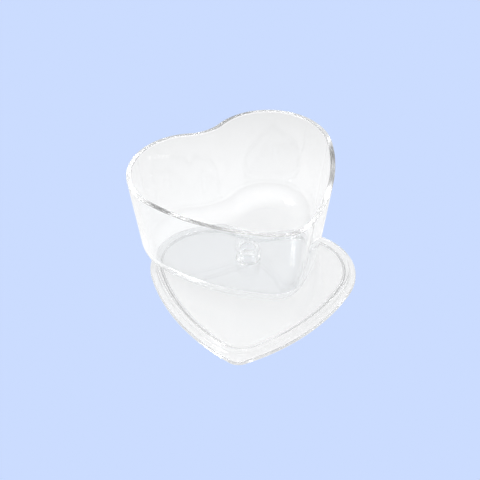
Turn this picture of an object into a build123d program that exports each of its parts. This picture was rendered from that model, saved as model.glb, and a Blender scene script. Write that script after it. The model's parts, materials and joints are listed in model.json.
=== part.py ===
from build123d import *
import math
import os

# A clear heart-shaped favour box in two mouldings: a deep tub that stands on its own
# upturned lid. The tub's heart points along -Y and its cleft faces +Y. Z is up, z = 0 is
# the surface that the lid lies on, and the origin is the middle of the whole footprint.
# All sizes are in millimetres.

# Heart outline at the tub's rim. It is drawn in arcs that run smoothly into each other:
# a hollow cleft, two round lobes, two gently bowed sides and a round tip.
HEART_WIDTH = 70.0
LOBE_RADIUS = 21.0
CLEFT_RADIUS = 13.7
SIDE_RADIUS = 71.5
SIDE_START_ANGLE = -22.3    # where a lobe runs into its side, in degrees below level
TIP_RADIUS = 13.0

# Both mouldings
WALL = 1.6
DRAFT = 7.0                 # slope of the walls from upright, in degrees
EDGE_ROUND = 0.5            # rounding of the rim and of the lid's outer edges

# Tub
TUB_HEIGHT = 34.3
BASE_RADIUS = 9.0           # large outside rounding between wall and floor

# Hollow post in the tub's floor
POST_FORWARD = 11.4         # from the lobe centres to the post, along -Y
POST_DIAMETER = 7.8
POST_BORE_DIAMETER = 4.8
POST_HEIGHT = 4.0           # above the floor
POST_ROOT_RADIUS = 0.6
POST_EDGE_RADIUS = 0.3

# Lid, lying with its plug upwards
FLANGE_MARGIN = 0.6         # from the flange's edge out to the tub's, when the box is closed
FLANGE_TIP_RADIUS = 5.0     # tighter than the tub's tip, so that a fingernail finds it
PLUG_HEIGHT = 2.0
PLUG_GAP = 1.0              # from the plug's foot to the tub's wall when the box is closed
PLUG_EDGE_RADIUS = 0.4
RECESS_EDGE_RADIUS = 0.8

# How the tub stands on the lid
LID_TURN = -35.7            # degrees about Z
LID_FORWARD = 14.3          # from the tub's lobe centres to the lid's, along -Y

LID_HEIGHT = WALL + PLUG_HEIGHT
DRAFT_SLOPE = math.tan(math.radians(DRAFT))


def heart_face(offset, height, tip_radius=TIP_RADIUS):
    """The heart outline grown outwards by offset (inwards if negative), at a height."""
    lobe_x = HEART_WIDTH / 2 - LOBE_RADIUS
    cleft_y = math.sqrt((LOBE_RADIUS + CLEFT_RADIUS) ** 2 - lobe_x**2)
    cleft_angle = math.degrees(math.atan2(cleft_y, lobe_x))
    reach = SIDE_RADIUS - LOBE_RADIUS
    side_x = lobe_x - reach * math.cos(math.radians(SIDE_START_ANGLE))
    side_y = -reach * math.sin(math.radians(SIDE_START_ANGLE))
    tip_y = side_y - math.sqrt((SIDE_RADIUS - tip_radius) ** 2 - side_x**2)
    tip_angle = math.degrees(math.atan2(tip_y - side_y, -side_x))

    lobe_sweep = SIDE_START_ANGLE - (180 - cleft_angle)
    side_sweep = tip_angle - SIDE_START_ANGLE
    lobe = LOBE_RADIUS + offset
    side = SIDE_RADIUS + offset
    outline = [
        CenterArc((0, cleft_y), CLEFT_RADIUS - offset, cleft_angle - 180, 180 - 2 * cleft_angle),
        CenterArc((lobe_x, 0), lobe, 180 - cleft_angle, lobe_sweep),
        CenterArc((side_x, side_y), side, SIDE_START_ANGLE, side_sweep),
        CenterArc((0, tip_y), tip_radius + offset, tip_angle, -180 - 2 * tip_angle),
        CenterArc((-side_x, side_y), side, 180 - SIDE_START_ANGLE, -side_sweep),
        CenterArc((-lobe_x, 0), lobe, cleft_angle, -lobe_sweep),
    ]
    return Pos(0, 0, height) * Face(Wire(outline))


def level_edges(solid, height):
    """The solid's edges that lie wholly at one height."""
    return solid.edges().filter_by(
        lambda edge: max(abs(edge.bounding_box().min.Z - height),
                         abs(edge.bounding_box().max.Z - height)) < 1e-4
    )


def narrowing_block(offset, wide, narrow):
    """A heart-shaped block that narrows by the draft, from height wide to height narrow."""
    direction = (0, 0, math.copysign(1, narrow - wide))
    return extrude(heart_face(offset, wide), amount=abs(narrow - wide), dir=direction, taper=DRAFT)


def make_post():
    """The round hollow post, with a small fillet where it grows out of the floor."""
    radius = POST_DIAMETER / 2
    top = WALL + POST_HEIGHT
    body = Pos(0, 0, WALL / 2) * Cylinder(
        radius, top - WALL / 2, align=(Align.CENTER, Align.CENTER, Align.MIN)
    )
    foot = Pos(0, 0, WALL) * Cylinder(
        radius + POST_ROOT_RADIUS, POST_ROOT_RADIUS, align=(Align.CENTER, Align.CENTER, Align.MIN)
    )
    ring = Pos(0, 0, WALL + POST_ROOT_RADIUS) * Torus(radius + POST_ROOT_RADIUS, POST_ROOT_RADIUS)
    bore = Pos(0, 0, WALL) * Cylinder(
        POST_BORE_DIAMETER / 2, POST_HEIGHT, align=(Align.CENTER, Align.CENTER, Align.MIN)
    )
    post = body + (foot - ring) - bore
    post = fillet(level_edges(post, top), POST_EDGE_RADIUS)
    place = Pos(0, -POST_FORWARD, 0)
    return place * post, place * bore


def make_tub():
    """The deep heart-shaped tub: drafted walls, a round bottom edge and a flat floor."""
    outside = narrowing_block(0, TUB_HEIGHT, 0)
    outside = fillet(level_edges(outside, 0), BASE_RADIUS)
    inside = narrowing_block(-WALL + WALL * DRAFT_SLOPE, TUB_HEIGHT + WALL, WALL)
    inside = fillet(level_edges(inside, WALL), BASE_RADIUS - WALL)
    tub = outside - inside
    tub = fillet(level_edges(tub, TUB_HEIGHT), EDGE_ROUND)
    post, bore = make_post()
    return tub + post - bore


def make_lid():
    """The lid as it lies: a flat flange below and the hollow plug standing up from it."""
    flange_face = heart_face(-FLANGE_MARGIN, 0, FLANGE_TIP_RADIUS + FLANGE_MARGIN)
    flange = extrude(flange_face, amount=WALL, dir=(0, 0, 1))
    flange = fillet(level_edges(flange, 0) + level_edges(flange, WALL), EDGE_ROUND)
    plug_offset = -(WALL + PLUG_GAP)
    plug = narrowing_block(plug_offset + WALL / 2 * DRAFT_SLOPE, WALL / 2, LID_HEIGHT)
    lid = flange + plug
    lid = fillet(level_edges(lid, LID_HEIGHT), PLUG_EDGE_RADIUS)
    recess = narrowing_block(plug_offset - WALL, 0, PLUG_HEIGHT)
    recess = fillet(level_edges(recess, PLUG_HEIGHT), RECESS_EDGE_RADIUS)
    return lid - recess


lid_place = Pos(0, -LID_FORWARD, 0) * Rot(0, 0, LID_TURN)
pieces = {
    "tub": Pos(0, 0, LID_HEIGHT) * make_tub(),
    "lid": lid_place * make_lid(),
}
footprint = Compound([piece for moulding in pieces.values() for piece in moulding.solids()]).bounding_box()
to_origin = Pos(-footprint.center().X, -footprint.center().Y, 0)

os.makedirs("parts", exist_ok=True)
for name, piece in pieces.items():
    export_step(to_origin * piece, f"parts/{name}.step")
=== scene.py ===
import json
import math
import bpy
from mathutils import Matrix, Quaternion, Vector


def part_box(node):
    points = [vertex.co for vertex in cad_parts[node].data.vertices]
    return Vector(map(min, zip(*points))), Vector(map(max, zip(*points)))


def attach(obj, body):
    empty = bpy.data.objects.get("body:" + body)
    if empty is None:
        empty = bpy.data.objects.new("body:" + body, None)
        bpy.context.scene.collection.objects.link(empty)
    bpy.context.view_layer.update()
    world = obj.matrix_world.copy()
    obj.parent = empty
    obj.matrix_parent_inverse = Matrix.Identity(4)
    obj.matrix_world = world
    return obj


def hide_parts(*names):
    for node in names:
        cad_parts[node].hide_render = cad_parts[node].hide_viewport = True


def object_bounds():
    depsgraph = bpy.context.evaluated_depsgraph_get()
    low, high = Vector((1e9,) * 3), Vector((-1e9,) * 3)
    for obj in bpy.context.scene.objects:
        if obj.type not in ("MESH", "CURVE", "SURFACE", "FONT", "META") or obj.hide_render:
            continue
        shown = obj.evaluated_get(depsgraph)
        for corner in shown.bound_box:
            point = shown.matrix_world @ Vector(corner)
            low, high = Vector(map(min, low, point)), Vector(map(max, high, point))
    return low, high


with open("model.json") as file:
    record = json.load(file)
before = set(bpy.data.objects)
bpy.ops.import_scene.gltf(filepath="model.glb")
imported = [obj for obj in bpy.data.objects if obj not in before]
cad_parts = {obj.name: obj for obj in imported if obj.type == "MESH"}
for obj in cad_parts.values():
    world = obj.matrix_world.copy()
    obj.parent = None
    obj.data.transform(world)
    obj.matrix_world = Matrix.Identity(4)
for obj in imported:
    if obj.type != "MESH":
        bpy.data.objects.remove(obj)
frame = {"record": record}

cad_low, cad_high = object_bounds()
mounts = {mount["name"]: mount for mount in frame["record"]["mounts"]}

# Tub: the deep heart-shaped half of the box. The real one is injection-moulded in clear
# polystyrene in one shot: drafted walls, a large round bottom edge, a thin flat floor
# with a hollow post in its middle, and a softly rounded rim.
MM = 0.001
HEART_WIDTH = 70.0 * MM
LOBE_RADIUS = 21.0 * MM
CLEFT_RADIUS = 13.7 * MM
SIDE_RADIUS = 71.5 * MM
TIP_RADIUS = 13.0 * MM
SIDE_START = math.radians(-22.3)
WALL = 1.6 * MM
DRAFT = math.radians(7.0)
RIM_ROUND = 0.5 * MM
BASE_RADIUS = 9.0 * MM
TUB_HAZE = 0.05
LEVEL = 0.02 * MM           # faces within this of a height count as at it
LEVEL_NORMAL = 0.999        # faces whose normal stands straighter than this count as level
SHARP = math.radians(40)    # edges that turn more than this stay sharp

# Points along each arc of the outline, and faces across each rounding
CLEFT_STEPS = 24
LOBE_STEPS = 60
SIDE_STEPS = 24
TIP_STEPS = 36
BASE_FACES = 20
FLOOR_FACES = 18
RIM_FACES = 5


def heart_arcs(grow, tip_radius):
    """The heart's outline as arcs (centre, radius, start angle, sweep, steps), clockwise
    from the left of the cleft, grown outwards."""
    lobe_x = HEART_WIDTH / 2 - LOBE_RADIUS
    cleft_y = math.sqrt((LOBE_RADIUS + CLEFT_RADIUS) ** 2 - lobe_x**2)
    cleft = math.atan2(cleft_y, lobe_x)
    reach = SIDE_RADIUS - LOBE_RADIUS
    side_x = lobe_x - reach * math.cos(SIDE_START)
    side_y = -reach * math.sin(SIDE_START)
    tip_y = side_y - math.sqrt((SIDE_RADIUS - tip_radius) ** 2 - side_x**2)
    tip = math.atan2(tip_y - side_y, -side_x)
    lobe = LOBE_RADIUS + grow
    side = SIDE_RADIUS + grow
    lobe_sweep = SIDE_START - (math.pi - cleft)
    side_sweep = tip - SIDE_START
    return [
        ((0, cleft_y), CLEFT_RADIUS - grow, cleft - math.pi, math.pi - 2 * cleft, CLEFT_STEPS),
        ((lobe_x, 0), lobe, math.pi - cleft, lobe_sweep, LOBE_STEPS),
        ((side_x, side_y), side, SIDE_START, side_sweep, SIDE_STEPS),
        ((0, tip_y), tip_radius + grow, tip, -math.pi - 2 * tip, TIP_STEPS),
        ((-side_x, side_y), side, math.pi - tip, side_sweep, SIDE_STEPS),
        ((-lobe_x, 0), lobe, math.pi - SIDE_START, lobe_sweep, LOBE_STEPS),
    ]


def heart_outline(grow=0, tip_radius=TIP_RADIUS):
    """Points along the heart's outline, anticlockwise, closer together on the tight arcs."""
    points = []
    for (x, y), radius, start, sweep, steps in heart_arcs(grow, tip_radius):
        for step in range(steps):
            angle = start + sweep * step / steps
            points.append(Vector((x + radius * math.cos(angle), y + radius * math.sin(angle), 0)))
    return points[::-1]


def heart_plate(name, place, grow=0):
    """A flat heart, put in its place: a disc with its points moved onto the outline."""
    outline = heart_outline(grow)
    bpy.ops.object.select_all(action="DESELECT")
    bpy.ops.mesh.primitive_circle_add(
        vertices=len(outline), radius=HEART_WIDTH / 2, fill_type="NGON"
    )
    plate = bpy.context.object
    plate.name = plate.data.name = name
    for vertex, point in zip(plate.data.vertices, outline):
        vertex.co = place @ point
    return plate


def pick_level(piece, height):
    """Opens a piece in edit mode with only its level faces at a height selected."""
    bpy.ops.object.mode_set(mode="OBJECT")
    bpy.context.tool_settings.mesh_select_mode = (False, False, True)
    for part in (*piece.data.vertices, *piece.data.edges):
        part.select = False
    for face in piece.data.polygons:
        face.select = (
            abs(face.center.z - height) < LEVEL and abs(face.normal.z) > LEVEL_NORMAL
        )
    bpy.ops.object.mode_set(mode="EDIT")


def round_edges(reach, faces):
    """Rounds the selected edges, back to a reach from each."""
    bpy.ops.mesh.bevel(
        offset=reach, segments=faces, profile=0.5, affect="EDGES", clamp_overlap=False
    )


def round_level(piece, height, reach, faces):
    """Rounds the edges all round a piece's level faces, back to a reach from the edge."""
    pick_level(piece, height)
    bpy.ops.mesh.region_to_loop()
    round_edges(reach, faces)


def sink_level(piece, height, margin, depth):
    """Leaves a margin round a level face and pushes the rest in (or pulls it out, if depth
    is positive), with walls that lean by the draft."""
    pick_level(piece, height)
    bpy.ops.mesh.inset(thickness=margin, depth=0)
    bpy.ops.mesh.inset(thickness=abs(depth) * math.tan(DRAFT), depth=depth)


def polish(piece):
    """Smooth shading that keeps the flat and drafted faces true beside the roundings."""
    bpy.ops.object.mode_set(mode="EDIT")
    bpy.ops.mesh.select_all(action="SELECT")
    bpy.ops.mesh.normals_make_consistent(inside=False)
    bpy.ops.object.mode_set(mode="OBJECT")
    bpy.ops.object.shade_smooth_by_angle(angle=SHARP)
    even = piece.modifiers.new("even shading", "WEIGHTED_NORMAL")
    even.keep_sharp = True
    bpy.ops.object.modifier_apply(modifier=even.name)


tub_low, tub_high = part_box("tub")
post_axis = Vector(mounts["post_bore"]["pos_m"])
POST_FORWARD = 11.4 * MM    # from the lobes' centres to the post
tub_place = Matrix.Translation((post_axis.x, post_axis.y + POST_FORWARD, tub_high.z))

tub = heart_plate("tub_shell", tub_place)
bpy.ops.object.mode_set(mode="EDIT")
bpy.ops.mesh.select_all(action="SELECT")
bpy.ops.mesh.flip_normals()
tub_height = tub_high.z - tub_low.z
bpy.ops.mesh.inset(thickness=tub_height * math.tan(DRAFT), depth=tub_height, use_boundary=True)
bpy.ops.mesh.select_all(action="DESELECT")
bpy.ops.mesh.select_non_manifold()
bpy.ops.mesh.edge_face_add()
bpy.ops.mesh.select_all(action="SELECT")
bpy.ops.mesh.normals_make_consistent(inside=False)
sink_level(tub, tub_high.z, WALL, -(tub_height - WALL))
floor_top = tub_low.z + WALL
blend_reach = math.tan((math.pi / 2 - DRAFT) / 2)
round_level(tub, tub_low.z, BASE_RADIUS * blend_reach, BASE_FACES)
round_level(tub, floor_top, (BASE_RADIUS - WALL) * blend_reach, FLOOR_FACES)
round_level(tub, tub_high.z, RIM_ROUND, RIM_FACES)

# The hollow post, moulded into the floor: a short round tube with a rounded mouth. It is
# shaped on its own, sunk halfway into the floor, and joined so that one skin runs over both.
POST_RADIUS = 3.9 * MM
POST_HEIGHT = 4.0 * MM
POST_ROOT = 0.6 * MM
POST_EDGE = 0.3 * MM
POST_SIDES = 96
POST_ROOT_FACES = 6
POST_EDGE_FACES = 4
post_wall = POST_RADIUS - mounts["post_bore"]["dims"]["r_mm"] * MM
post_foot = tub_low.z + WALL / 2
post_top = floor_top + POST_HEIGHT

bpy.ops.object.mode_set(mode="OBJECT")
bpy.ops.object.select_all(action="DESELECT")
bpy.ops.mesh.primitive_circle_add(
    vertices=POST_SIDES, radius=POST_RADIUS, location=(post_axis.x, post_axis.y, post_foot)
)
post = bpy.context.object
bpy.ops.object.transform_apply(location=True)
bpy.ops.object.mode_set(mode="EDIT")
bpy.ops.mesh.extrude_region_move(TRANSFORM_OT_translate={"value": (0, 0, post_top - post_foot)})
bpy.ops.mesh.select_all(action="SELECT")
bpy.ops.mesh.normals_make_consistent(inside=False)
bpy.ops.object.mode_set(mode="OBJECT")
thick = post.modifiers.new("wall", "SOLIDIFY")
thick.thickness = post_wall
thick.offset = -1
bpy.ops.object.modifier_apply(modifier=thick.name)
round_level(post, post_top, POST_EDGE, POST_EDGE_FACES)
bpy.ops.object.mode_set(mode="OBJECT")

bpy.ops.object.select_all(action="DESELECT")
tub.select_set(True)
bpy.context.view_layer.objects.active = tub
union = tub.modifiers.new("post", "BOOLEAN")
union.operation = "UNION"
union.object = post
bpy.ops.object.modifier_apply(modifier=union.name)
bpy.data.objects.remove(post)

bpy.context.tool_settings.mesh_select_mode = (False, True, False)
bpy.ops.object.mode_set(mode="EDIT")
bpy.ops.mesh.select_all(action="DESELECT")
bpy.ops.object.mode_set(mode="OBJECT")
for edge in tub.data.edges:
    ends = [tub.data.vertices[index].co - post_axis for index in edge.vertices]
    edge.select = all(
        abs(end.xy.length - POST_RADIUS) < LEVEL and abs(end.z + post_axis.z - floor_top) < LEVEL
        for end in ends
    )
bpy.ops.object.mode_set(mode="EDIT")
round_edges(POST_ROOT, POST_ROOT_FACES)
polish(tub)


def moulded_skin():
    """Node group: how far a moulded, handled surface is from perfectly flat and polished."""
    group = bpy.data.node_groups.new("moulded_skin", "ShaderNodeTree")
    group.interface.new_socket("Haze", in_out="INPUT", socket_type="NodeSocketFloat")
    group.interface.new_socket("Tint", in_out="OUTPUT", socket_type="NodeSocketColor")
    group.interface.new_socket("Roughness", in_out="OUTPUT", socket_type="NodeSocketFloat")
    group.interface.new_socket("Normal", in_out="OUTPUT", socket_type="NodeSocketVector")
    nodes, links = group.nodes, group.links
    given = nodes.new("NodeGroupInput")
    out = nodes.new("NodeGroupOutput")
    where = nodes.new("ShaderNodeTexCoord").outputs["Object"]

    def noise(scale, detail, stretch=(1, 1, 1), turn=0):
        mapping = nodes.new("ShaderNodeMapping")
        mapping.inputs["Scale"].default_value = stretch
        mapping.inputs["Rotation"].default_value = (0, 0, turn)
        texture = nodes.new("ShaderNodeTexNoise")
        texture.inputs["Scale"].default_value = scale
        texture.inputs["Detail"].default_value = detail
        links.new(where, mapping.inputs["Vector"])
        links.new(mapping.outputs["Vector"], texture.inputs["Vector"])
        return texture.outputs["Fac"]

    def spread(value, low, high, to_low, to_high):
        span = nodes.new("ShaderNodeMapRange")
        span.inputs["From Min"].default_value = low
        span.inputs["From Max"].default_value = high
        span.inputs["To Min"].default_value = to_low
        span.inputs["To Max"].default_value = to_high
        links.new(value, span.inputs["Value"])
        return span

    def add(first, second):
        total = nodes.new("ShaderNodeMath")
        links.new(first, total.inputs[0])
        links.new(second, total.inputs[1])
        return total.outputs["Value"]

    # Slow ripples where the plastic flowed, and two sets of hairline scratches
    scratch_depth = 0.04        # against ripples that go from 0 to 1
    ripple_depth = 0.03 * MM
    flow = noise(scale=90, detail=2, stretch=(1, 1, 0.35))
    long_grain = noise(scale=70, detail=1, stretch=(60, 1, 1), turn=0.6)
    wide_grain = noise(scale=55, detail=1, stretch=(1, 75, 1), turn=-0.35)
    along = spread(long_grain, low=0.66, high=0.72, to_low=0, to_high=scratch_depth)
    across = spread(wide_grain, low=0.67, high=0.73, to_low=0, to_high=scratch_depth)
    scratches = add(along.outputs["Result"], across.outputs["Result"])
    bump = nodes.new("ShaderNodeBump")
    bump.inputs["Strength"].default_value = 1
    bump.inputs["Distance"].default_value = ripple_depth
    links.new(add(flow, scratches), bump.inputs["Height"])
    links.new(bump.outputs["Normal"], out.inputs["Normal"])

    # Cloudy haze, from the clearest roughness up to the group's own Haze, and duller scratches
    clearest = 0.015
    scratch_dullness = 0.12
    clouds = noise(scale=160, detail=4)
    haze = spread(clouds, low=0.35, high=0.75, to_low=clearest, to_high=1)
    links.new(given.outputs["Haze"], haze.inputs["To Max"])
    worn = spread(scratches, low=0, high=scratch_depth, to_low=0, to_high=scratch_dullness)
    links.new(add(haze.outputs["Result"], worn.outputs["Result"]), out.inputs["Roughness"])

    # The faint cool tint of clear plastic, a little uneven
    tint = nodes.new("ShaderNodeMix")
    tint.data_type = "RGBA"
    tint.inputs["A"].default_value = (0.985, 0.99, 0.995, 1)
    tint.inputs["B"].default_value = (0.965, 0.975, 0.985, 1)
    links.new(noise(scale=45, detail=3), tint.inputs["Factor"])
    links.new(tint.outputs["Result"], out.inputs["Tint"])
    return group


def clear_polystyrene(name, haze):
    """Clear, colourless, polished polystyrene, with faint flow ripples, haze and scratches."""
    material = bpy.data.materials.new(name)
    material.use_nodes = True
    nodes, links = material.node_tree.nodes, material.node_tree.links
    shader = nodes["Principled BSDF"]
    shader.inputs["IOR"].default_value = 1.57
    shader.inputs["Transmission Weight"].default_value = 1
    skin = nodes.new("ShaderNodeGroup")
    skin.node_tree = bpy.data.node_groups.get("moulded_skin") or moulded_skin()
    skin.inputs["Haze"].default_value = haze
    links.new(skin.outputs["Tint"], shader.inputs["Base Color"])
    links.new(skin.outputs["Roughness"], shader.inputs["Roughness"])
    links.new(skin.outputs["Normal"], shader.inputs["Normal"])
    return material


tub.data.materials.append(clear_polystyrene("tub_polystyrene", TUB_HAZE))
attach(tub, "tub")
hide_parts("tub")

# Lid: the shallow half of the box, moulded in the same clear polystyrene. A flat flange
# a little narrower than the tub's rim carries a hollow plug that drops into the rim with
# some play. Here it lies on its flange with the plug upwards, and the tub stands on it.
LID_TURN = math.radians(-35.7)
LID_FORWARD = 14.3 * MM     # from the tub's lobe centres to the lid's
FLANGE_MARGIN = 0.6 * MM    # from the flange's edge out to the tub's, when closed
FLANGE_TIP = 5.0 * MM
FLANGE_ROUND = 0.5 * MM
PLUG_GAP = 1.0 * MM         # from the plug's foot to the tub's wall, when closed
PLUG_EDGE = 0.4 * MM
RECESS_EDGE = 0.8 * MM
FLANGE_FACES = 4
PLUG_FACES = 4
RECESS_FACES = 6
LID_HAZE = 0.05

lid_low, lid_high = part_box("lid")
lobes_at = tub_place.translation
lid_at = (lobes_at.x, lobes_at.y - LID_FORWARD, lid_low.z)
lid_place = Matrix.Translation(lid_at) @ Matrix.Rotation(LID_TURN, 4, "Z")
plug_height = lid_high.z - lid_low.z - WALL

lid = heart_plate("lid_plate", lid_place, -FLANGE_MARGIN)
bpy.ops.object.mode_set(mode="EDIT")
bpy.ops.mesh.select_all(action="SELECT")
bpy.ops.mesh.extrude_region_move(TRANSFORM_OT_translate={"value": (0, 0, WALL)})
bpy.ops.mesh.select_all(action="SELECT")
bpy.ops.mesh.normals_make_consistent(inside=False)
plug_margin = WALL + PLUG_GAP - FLANGE_MARGIN
sink_level(lid, lid_low.z + WALL, plug_margin, plug_height)
sink_level(lid, lid_low.z, plug_margin + WALL, -plug_height)

# The flange's tip is tighter than the plug's, so only its outer points move onto that heart.
bpy.ops.object.mode_set(mode="OBJECT")
tight_tip = FLANGE_TIP + FLANGE_MARGIN
blunt = [lid_place @ point for point in heart_outline(-FLANGE_MARGIN)]
sharp = [lid_place @ point for point in heart_outline(-FLANGE_MARGIN, tight_tip)]
for vertex in lid.data.vertices:
    for here, there in zip(blunt, sharp):
        if (vertex.co.xy - here.xy).length < LEVEL:
            vertex.co.xy = there.xy
            break
round_level(lid, lid_high.z, PLUG_EDGE, PLUG_FACES)
round_level(lid, lid_low.z + plug_height, RECESS_EDGE, RECESS_FACES)
round_level(lid, lid_low.z, FLANGE_ROUND, FLANGE_FACES)
round_level(lid, lid_low.z + WALL, FLANGE_ROUND, FLANGE_FACES)
polish(lid)

lid.data.materials.append(clear_polystyrene("lid_polystyrene", LID_HAZE))
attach(lid, "lid")
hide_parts("lid")

# Studio floor: plain pale blue paper. The camera sees it as one even colour. To every
# other ray it is white, part matt and part a painted glow: emission that paints a soft pool of
# light round the box.
FLOOR_SIZE = 3.0
FLOOR_DROP = 0.05 * MM
PALE_BLUE = (0.597, 0.716, 1.0, 1)
WHITE_PAPER = (0.95, 0.95, 0.95, 1)
GLOW_POOL_NEAR = 0.04
GLOW_POOL_FAR = 0.12
GLOW_POOL_MIDDLE = 1.12
GLOW_POOL_EDGE = 0.6
GLOW_SHARE = 0.7            # of the white floor's light; the rest is matt paper
bpy.ops.object.select_all(action="DESELECT")
bpy.ops.mesh.primitive_plane_add(size=FLOOR_SIZE, location=(0, 0, cad_low.z - FLOOR_DROP))
floor = bpy.context.object
floor.name = floor.data.name = "studio_floor"

paper = bpy.data.materials.new("studio_paper_and_glow")
paper.use_nodes = True
nodes, links = paper.node_tree.nodes, paper.node_tree.links
nodes.remove(nodes["Principled BSDF"])
# Painted glow: to every ray but the camera's, the floor gives out white light of its own, though
# it is no lamp
glow = nodes.new("ShaderNodeEmission")
path = nodes.new("ShaderNodeLightPath")
tint = nodes.new("ShaderNodeMix")
tint.data_type = "RGBA"
spot = nodes.new("ShaderNodeVectorMath")
spot.operation = "LENGTH"
# Painted pool of light: the glow is brightest near the box and dimmer further out
pool = nodes.new("ShaderNodeMapRange")
pool.inputs["From Min"].default_value = GLOW_POOL_NEAR
pool.inputs["From Max"].default_value = GLOW_POOL_FAR
pool.inputs["To Min"].default_value = GLOW_POOL_MIDDLE
pool.inputs["To Max"].default_value = GLOW_POOL_EDGE
links.new(nodes.new("ShaderNodeTexCoord").outputs["Object"], spot.inputs[0])
links.new(spot.outputs["Value"], pool.inputs["Value"])
links.new(pool.outputs["Result"], tint.inputs["A"])
tint.inputs["B"].default_value = PALE_BLUE
links.new(path.outputs["Is Camera Ray"], tint.inputs["Factor"])
links.new(tint.outputs["Result"], glow.inputs["Color"])
matt = nodes.new("ShaderNodeBsdfDiffuse")
matt.inputs["Color"].default_value = WHITE_PAPER
share = nodes.new("ShaderNodeMapRange")
share.inputs["To Min"].default_value = GLOW_SHARE
share.inputs["To Max"].default_value = 1.0
surface = nodes.new("ShaderNodeMixShader")
links.new(path.outputs["Is Camera Ray"], share.inputs["Value"])
links.new(share.outputs["Result"], surface.inputs["Fac"])
links.new(matt.outputs["BSDF"], surface.inputs[1])
links.new(glow.outputs["Emission"], surface.inputs[2])
links.new(surface.outputs["Shader"], nodes["Material Output"].inputs["Surface"])
floor.data.materials.append(paper)

# Studio dome and lamps: bright overhead, dark low down on the near side and a little
# brighter low down on the far side, with two soft lamps. Each sky stop is a height, from
# the horizon at 0 to overhead at 1, and its grey.
NEAR_SKY = ((0.0, 0.02), (0.2, 0.06), (0.4, 0.45), (0.7, 0.9))
FAR_SKY = ((0.0, 0.18), (0.3, 0.4), (0.7, 0.9))
FAR_SIDE = (0.475, 0.88, 0.0)
NEAR_SKY_END = -0.5         # along FAR_SIDE; the near sky fades into the far one from here
FAR_SKY_START = 0.3         # to here
world = bpy.data.worlds.new("studio_dome")
bpy.context.scene.world = world
world.use_nodes = True
nodes, links = world.node_tree.nodes, world.node_tree.links
background = nodes["Background"]
where = nodes.new("ShaderNodeTexCoord")
height = nodes.new("ShaderNodeSeparateXYZ")
facing = nodes.new("ShaderNodeVectorMath")
facing.operation = "DOT_PRODUCT"
facing.inputs[1].default_value = FAR_SIDE
side = nodes.new("ShaderNodeMapRange")
side.inputs["From Min"].default_value = NEAR_SKY_END
side.inputs["From Max"].default_value = FAR_SKY_START
links.new(where.outputs["Generated"], height.inputs[0])
links.new(where.outputs["Generated"], facing.inputs[0])
links.new(facing.outputs["Value"], side.inputs["Value"])


def sky(stops):
    """Grey that changes with height, between (height, grey) stops."""
    ramp = nodes.new("ShaderNodeValToRGB")
    marks = ramp.color_ramp.elements
    for stop, grey in stops:
        mark = marks.new(stop)
        mark.color = (grey, grey, grey, 1)
    marks.remove(marks[-1])
    marks.remove(marks[0])
    links.new(height.outputs["Z"], ramp.inputs["Fac"])
    return ramp.outputs["Color"]


dome = nodes.new("ShaderNodeMix")
dome.data_type = "RGBA"
links.new(side.outputs["Result"], dome.inputs["Factor"])
links.new(sky(NEAR_SKY), dome.inputs["A"])
links.new(sky(FAR_SKY), dome.inputs["B"])
path = nodes.new("ShaderNodeLightPath")
shown = nodes.new("ShaderNodeMix")
shown.data_type = "RGBA"
links.new(path.outputs["Is Camera Ray"], shown.inputs["Factor"])
links.new(dome.outputs["Result"], shown.inputs["A"])
shown.inputs["B"].default_value = PALE_BLUE
links.new(shown.outputs["Result"], background.inputs["Color"])


def softbox(name, size, place, power):
    """A rectangular lamp that faces the box."""
    data = bpy.data.lights.new(name, "AREA")
    data.shape = "RECTANGLE"
    data.size, data.size_y = size
    data.energy = power
    light = bpy.data.objects.new(name, data)
    bpy.context.scene.collection.objects.link(light)
    light.location = place
    light.rotation_euler = (post_axis - Vector(place)).to_track_quat("-Z", "Y").to_euler()


softbox("key_softbox", size=(0.3, 0.3), place=(-0.45, 0.3, 0.9), power=3)
softbox("front_strip", size=(0.25, 0.08), place=(-0.15, -0.45, 1.0), power=0.5)

# Studio camera: a long lens that looks down on the box from its front left.
CAMERA_AZIMUTH = math.radians(-28.33)
CAMERA_DIP = math.radians(41.02)
CAMERA_ROLL = math.radians(-0.549)
CAMERA_FROM_LOBES = Vector((-0.13591, -0.25771, 0.25289))
CAMERA_LENS = 84.67
SENSOR_WIDTH = 36
MOST_BOUNCES = 128          # light runs a long way inside clear walls
camera_data = bpy.data.cameras.new("studio_camera")
camera_data.lens = CAMERA_LENS
camera_data.sensor_width = SENSOR_WIDTH
camera_data.clip_start = 0.01
camera = bpy.data.objects.new("studio_camera", camera_data)
bpy.context.scene.collection.objects.link(camera)
back = Vector((
    math.sin(CAMERA_AZIMUTH) * math.cos(CAMERA_DIP),
    -math.cos(CAMERA_AZIMUTH) * math.cos(CAMERA_DIP),
    math.sin(CAMERA_DIP),
))
camera.location = Vector((lobes_at.x, lobes_at.y, tub_low.z)) + CAMERA_FROM_LOBES
camera.rotation_euler = (
    (-back).to_track_quat("-Z", "Y") @ Quaternion((0, 0, 1), CAMERA_ROLL)
).to_euler()
scene = bpy.context.scene
scene.camera = camera
scene.view_settings.view_transform = "Standard"
scene.cycles.max_bounces = MOST_BOUNCES
scene.cycles.transmission_bounces = MOST_BOUNCES
scene.cycles.glossy_bounces = MOST_BOUNCES
